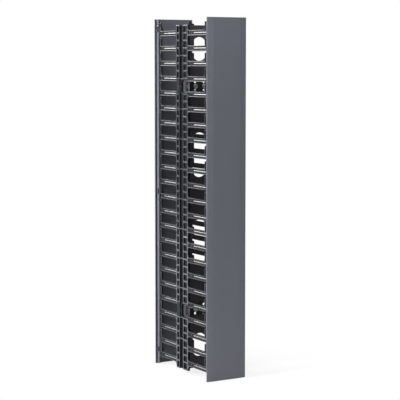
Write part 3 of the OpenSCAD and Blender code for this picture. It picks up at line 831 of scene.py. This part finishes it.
def hem_shade_strip(name, side, face):
    """A thin dark strip along the inner side of a cover's hem, as painted shade there."""
    bpy.ops.mesh.primitive_cube_add(size=1.0, location=(0, 0, 0))
    strip = bpy.context.object
    strip.name = strip.data.name = name
    strip.scale = (STRIP_WIDTH, STRIP_SHEET, COVER_HEIGHT - 2 * STRIP_END)
    bpy.ops.object.transform_apply(location=False, rotation=False, scale=True)
    round_edges(strip, 0.12 * MM)
    out, back = SIDES[side], FACES[face]
    hem = HEM_DEPTH + (HEM_EDGE - STRIP_MIDDLE) * tan(MARGIN_ANGLE)
    place = Vector((out * STRIP_MIDDLE, back * (hem - STRIP_SHEET / 2 - STRIP_GAP),
                    COVER_HEIGHT / 2))
    strip.data.transform(Matrix.Translation(place)
                         @ Matrix.Rotation(-MARGIN_ANGLE * out * back, 4, "Z"))
    return strip


class CABLE_OT_covers(bpy.types.Operator):
    """Round and finish the front and rear covers with their hinge ears, and add the dark hem
    strips that paint shade inside their hems
    """
    bl_idname = "cable.covers"
    bl_label = "Covers"

    def execute(self, context):
        width = settings().metal.sheet_edge
        for face in FACES:
            name = f"{face}_cover"
            piece = copy_of(name, name + "_painted")
            bevel_chosen(piece, pick_bends, offset=BEND_ROLL)
            round_edges(piece, width)
            finish_piece(piece, GREY_PAINT, body_of_node(name), name)
            refine(f"{face}_hinge_ears", "painted", GREY_PAINT, width)
            # The dark strips on the inner side of the hems are painted shade
            for side in SIDES:
                strip = hem_shade_strip(f"{face}_{side}_hem_shade_strip", side, face)
                finish_piece(strip, MATT_PLASTIC, body_of_node(name))
        return {"FINISHED"}


class CABLE_OT_hinges(bpy.types.Operator):
    """Round and finish the hinge rods, their caps and the hinge clips"""
    bl_idname = "cable.hinges"
    bl_label = "Hinges"

    def execute(self, context):
        for face in FACES:
            for side in SIDES:
                refine(f"{face}_{side}_hinge_rod", "drawn", BLACK_ZINC_AND_SHADE, HINGE_EDGE)
                refine(f"{face}_{side}_rod_caps", "moulded", MATT_PLASTIC, HINGE_EDGE)
                refine(f"{face}_{side}_hinge_clips", "moulded", MATT_PLASTIC, HINGE_EDGE)
        return {"FINISHED"}


def islands_of(node_name):
    """Lowest and highest corner of every loose part of a frame node."""
    mesh = frame["nodes"][node_name].data
    parent = list(range(len(mesh.vertices)))

    def root(i):
        while parent[i] != i:
            parent[i] = parent[parent[i]]
            i = parent[i]
        return i

    same = {}
    for v in mesh.vertices:
        place = tuple(round(c, 6) for c in v.co)
        parent[root(v.index)] = root(same.setdefault(place, v.index))
    for edge in mesh.edges:
        parent[root(edge.vertices[0])] = root(edge.vertices[1])
    groups = {}
    for v in mesh.vertices:
        groups.setdefault(root(v.index), []).append(v.co)
    return [extent(points) for points in groups.values()]


def turned_body(name, steps, sides=32):
    """A turned piece: a disc drawn out along its axis through (radius, height) steps."""
    bpy.ops.mesh.primitive_circle_add(vertices=sides, radius=steps[0][0], fill_type="NGON",
                                      location=(0, 0, 0))
    piece = bpy.context.object
    piece.name = piece.data.name = name
    piece.data.transform(Matrix.Translation((0, 0, steps[0][1])))
    bpy.ops.object.mode_set(mode="EDIT")
    bpy.ops.mesh.select_all(action="SELECT")
    for (r0, h0), (r1, h1) in zip(steps, steps[1:]):
        bpy.ops.mesh.extrude_region_move(TRANSFORM_OT_translate={"value": (0, 0, h1 - h0)})
        if abs(r1 - r0) > 1e-7:
            bpy.ops.transform.resize(value=(r1 / r0, r1 / r0, 1.0))
    bpy.ops.mesh.select_all(action="SELECT")
    bpy.ops.mesh.normals_make_consistent(inside=False)
    bpy.ops.object.mode_set(mode="OBJECT")
    return piece


def combine(piece, other, operation="DIFFERENCE"):
    """Cuts, joins or crosses a piece with another mesh, which is used up."""
    pick(piece)
    mod = piece.modifiers.new("combine", "BOOLEAN")
    mod.operation = operation
    mod.solver = "EXACT"
    mod.object = other
    bpy.ops.object.modifier_apply(modifier="combine")
    bpy.data.objects.remove(other)


def cross_cutter(length, width, low, high):
    """A cross-shaped cutter for the recess of a screw head, one arm a hair narrower."""
    arms = []
    for size in ((length, width), (width * 0.999, length)):
        bpy.ops.mesh.primitive_cube_add(size=1.0, location=(0, 0, (low + high) / 2))
        arm = bpy.context.object
        arm.scale = (*size, high - low)
        arms.append(arm)
    pick(*arms)
    bpy.ops.object.transform_apply(location=True, rotation=True, scale=True)
    combine(*arms, "UNION")
    return arms[0]


def screw_model(name, head, head_height, shank, length):
    """A pan head screw with a cross recess, head up, its bearing face at height 0."""
    piece = turned_body(name, (
        (shank * 0.7, -length), (shank, -length + shank * 0.4), (shank, 0.0), (head, 0.0),
        (head, head_height * 0.45), (head * 0.93, head_height * 0.72),
        (head * 0.74, head_height * 0.92), (head * 0.45, head_height)))
    combine(piece, cross_cutter(head * 1.15, head * 0.26, head_height * 0.35,
                                head_height * 1.2))
    round_edges(piece, 0.08 * MM, 2, 30.0)
    return piece


def bolt_model(name):
    """A socket head bolt with its washer, head up, the washer's face at height 0."""
    shank, washer, head, sheet, top = (v * MM for v in (3.0, 7.5, 5.0, 1.5, 5.0))
    piece = turned_body(name, (
        (shank - 0.6 * MM, -BOLT_LENGTH), (shank, -BOLT_LENGTH + 0.6 * MM), (shank, 0.0),
        (washer, 0.0), (washer, sheet - 0.2 * MM), (washer - 0.2 * MM, sheet),
        (head, sheet), (head, top - 0.4 * MM), (head - 0.4 * MM, top)))
    bpy.ops.mesh.primitive_cylinder_add(vertices=6, radius=2.9 * MM, depth=3.0 * MM,
                                        location=(0, 0, 4.0 * MM))
    combine(piece, bpy.context.object)
    round_edges(piece, 0.1 * MM, 2, 30.0)
    return piece


def nut_model(name):
    """A hexagon nut, its lower face at height 0. A cone takes off its upper corners."""
    height, bore = 5.0 * MM, 3.02 * MM
    corner = 5.0 * MM / cos(pi / 6)
    bpy.ops.mesh.primitive_cylinder_add(vertices=6, radius=corner, depth=height,
                                        location=(0, 0, height / 2))
    piece = bpy.context.object
    piece.name = piece.data.name = name
    bpy.ops.object.transform_apply(location=True, rotation=True, scale=True)
    bpy.ops.mesh.primitive_cone_add(vertices=48, radius1=9.37 * MM, radius2=4.6 * MM,
                                    depth=6.9 * MM, location=(0, 0, 3.05 * MM))
    combine(piece, bpy.context.object, "INTERSECT")
    bpy.ops.mesh.primitive_cylinder_add(vertices=32, radius=bore, depth=9.0 * MM,
                                        location=(0, 0, height / 2))
    combine(piece, bpy.context.object)
    round_edges(piece, 0.1 * MM, 2, 30.0)
    return piece


def rivet_model(name):
    """A domed rivet that runs through both webs, from height -2.9 to 2.9 mm."""
    half = ((1.3, -2.9), (2.6, -2.65), (3.3, -2.2), (3.6, -1.75), (3.6, -1.6), (2.0, -1.6))
    steps = [(r * MM, h * MM) for r, h in half]
    steps += [(r, -h) for r, h in reversed(steps)]
    piece = turned_body(name, steps, 28)
    round_edges(piece, 0.05 * MM, 1, 50.0)
    return piece


def set_copies(model, node_name, finish, seat):
    """Joins copies of a model, one for every loose part of a node, where seat() says.
    Each is turned a little further, so that the recesses don't all point one way."""
    copies = []
    for low, high in islands_of(node_name):
        place, axis = seat(low, high, (low + high) / 2)
        turn = Vector((0, 0, 1)).rotation_difference(Vector(axis)).to_matrix().to_4x4()
        twist = Matrix.Rotation(TWIST_STEP * len(copies), 4, "Z")
        one = model.copy()
        one.data = model.data.copy()
        one.data.transform(Matrix.Translation(place) @ turn @ twist)
        bpy.context.scene.collection.objects.link(one)
        copies.append(one)
    pick(*copies)
    bpy.ops.object.join()
    piece = bpy.context.object
    piece.name = piece.data.name = node_name + "_made"
    finish_piece(piece, finish, body_of_node(node_name), node_name)


def place_screws():
    """Screws that hold the combs from inside the channels, and those in the bosses."""
    screw = screw_model("comb_screw", 3.2 * MM, 2.0 * MM, 1.5 * MM, 3.7 * MM)
    for side, out in SIDES.items():
        set_copies(screw, f"{side}_comb_screws", ZINC,
                   lambda low, high, mid, out=out:
                   ((out * COMB_SCREW_SEAT, mid.y, mid.z), (-out, 0, 0)))
    bpy.data.objects.remove(screw)
    boss = screw_model("boss_screw", 3.6 * MM, 2.4 * MM, 2.0 * MM, 6.7 * MM)
    # The dark finish of the boss screws is painted shade in the bosses
    set_copies(boss, "comb_boss_screws", SHADED_BOSS_SCREW,
               lambda low, high, mid:
               ((copysign(BOSS_SCREW_SEAT, mid.x), mid.y, mid.z), (copysign(1, mid.x), 0, 0)))
    bpy.data.objects.remove(boss)


def place_bolts():
    """Bolts and nuts of the rack brackets."""
    bolt = bolt_model("bracket_bolt")
    set_copies(bolt, "bracket_bolts", ZINC,
               lambda low, high, mid: ((mid.x, high.y - BOLT_LENGTH, mid.z), (0, -1, 0)))
    bpy.data.objects.remove(bolt)
    nut = nut_model("bracket_nut")
    set_copies(nut, "bracket_nuts", ZINC,
               lambda low, high, mid: ((mid.x, low.y, mid.z), (0, 1, 0)))
    bpy.data.objects.remove(nut)


def place_rivets():
    """Rivets that join the two channels of the spine."""
    rivet = rivet_model("channel_rivet")
    set_copies(rivet, "channel_rivets", POWDER_COAT,
               lambda low, high, mid: ((mid.x, 0.0, mid.z), (0, -1, 0)))
    bpy.data.objects.remove(rivet)


class CABLE_OT_fixings(bpy.types.Operator):
    """Make the screws, rivets, bolts and nuts"""
    bl_idname = "cable.fixings"
    bl_label = "Fixings"

    def execute(self, context):
        place_screws()
        place_bolts()
        place_rivets()
        return {"FINISHED"}


def add_lamp(name, place, size, power, aim=STAGE_MIDDLE):
    """A soft rectangular lamp that the camera doesn't see."""
    bpy.ops.object.light_add(type="AREA", location=place)
    lamp = bpy.context.object
    lamp.name = lamp.data.name = name
    lamp.data.shape = "RECTANGLE"
    lamp.data.size, lamp.data.size_y = size
    lamp.data.energy = power
    lamp.rotation_euler = (Vector(aim) - Vector(place)).to_track_quat("-Z", "Y").to_euler()
    lamp.visible_camera = False
    return lamp


def make_floor(radius):
    """A wide round floor just under the object."""
    bpy.ops.mesh.primitive_circle_add(vertices=96, radius=radius, fill_type="NGON",
                                      location=(0, 0, -0.5 * MM))
    floor = bpy.context.object
    floor.name = "floor"
    floor.data.materials.append(floor_material())


def make_lamps():
    """Lamps all round; one at the side lights only matt surfaces, one behind only gloss."""
    add_lamp("front_softbox", (0.1, -3.0, 1.6), (1.2, 2.0), 17.0)
    add_lamp("top_softbox", (-0.4, -0.7, 2.1), (0.5, 0.5), 15.0, aim=(0.0, 0.0, 1.0))
    side = add_lamp("side_softbox", (-2.9, -0.15, 1.2), (0.8, 2.0), 155.0)
    side.visible_glossy = False
    add_lamp("right_softbox", (2.6, 0.9, 1.4), (0.8, 2.0), 45.0)
    add_lamp("rear_softbox", (-1.54, 3.31, 2.18), (3.0, 1.6), 150.0)
    sheen = add_lamp("rear_reflector", (-1.54, 3.31, 3.9), (3.0, 2.2), 260.0)
    sheen.visible_diffuse = False


def make_camera(s):
    """The camera of the main view, from the stage settings."""
    turn, dip = s.camera_turn, s.camera_dip
    ahead = Vector((sin(turn) * cos(dip), cos(turn) * cos(dip), -sin(dip)))
    bpy.ops.object.camera_add(location=s.camera_place)
    camera = bpy.context.object
    camera.name = "camera"
    camera.rotation_euler = ahead.to_track_quat("-Z", "Y").to_euler()
    camera.data.sensor_width = 36.0
    camera.data.lens = s.lens
    camera.data.clip_start = 0.05
    camera.data.clip_end = 60.0
    bpy.context.scene.camera = camera


class CABLE_OT_stage(bpy.types.Operator):
    """Make the floor, the lamps, the world and the camera"""
    bl_idname = "cable.stage"
    bl_label = "Stage"

    def execute(self, context):
        s = settings().stage
        make_floor(s.floor_radius)
        white_world(s.sky_level)
        make_lamps()
        make_camera(s)
        context.scene.view_settings.view_transform = "Standard"
        return {"FINISHED"}


class CableManagerSettings(bpy.types.PropertyGroup):
    """All settings of the cable manager"""

    plastic: bpy.props.PointerProperty(
        type=CablePlasticSettings, name="Plastic", description="Moulded parts")
    metal: bpy.props.PointerProperty(
        type=CableMetalSettings, name="Metal", description="Steel parts")
    stage: bpy.props.PointerProperty(
        type=CableStageSettings, name="Stage", description="Camera, lamps and floor")


class CABLE_PT_panel(bpy.types.Panel):
    """Lists the steps and the settings"""
    bl_idname = "CABLE_PT_panel"
    bl_label = "Cable Manager"
    bl_space_type = "VIEW_3D"
    bl_region_type = "UI"
    bl_category = "Cable Manager"

    def draw(self, context):
        layout = self.layout
        for step in STEPS:
            layout.operator(step.bl_idname)
        s = context.scene.cable_manager
        for title, group in (("Plastic", s.plastic), ("Metal", s.metal), ("Stage", s.stage)):
            box = layout.box()
            box.label(text=title)
            for key in group.__annotations__:
                box.prop(group, key)


STEPS = (CABLE_OT_materials, CABLE_OT_combs, CABLE_OT_spine, CABLE_OT_covers,
         CABLE_OT_hinges, CABLE_OT_fixings, CABLE_OT_stage)
CLASSES = (CablePlasticSettings, CableMetalSettings, CableStageSettings,
           CableManagerSettings, *STEPS, CABLE_PT_panel)


def register():
    for c in CLASSES:
        bpy.utils.register_class(c)
    bpy.types.Scene.cable_manager = bpy.props.PointerProperty(type=CableManagerSettings)


def unregister():
    del bpy.types.Scene.cable_manager
    for c in reversed(CLASSES):
        bpy.utils.unregister_class(c)


def main():
    register()
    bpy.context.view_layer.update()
    bpy.ops.object.select_all(action="DESELECT")
    bpy.ops.cable.materials()
    bpy.ops.cable.combs()
    bpy.ops.cable.spine()
    bpy.ops.cable.covers()
    bpy.ops.cable.hinges()
    bpy.ops.cable.fixings()
    bpy.ops.cable.stage()


if __name__ == "__main__":
    main()
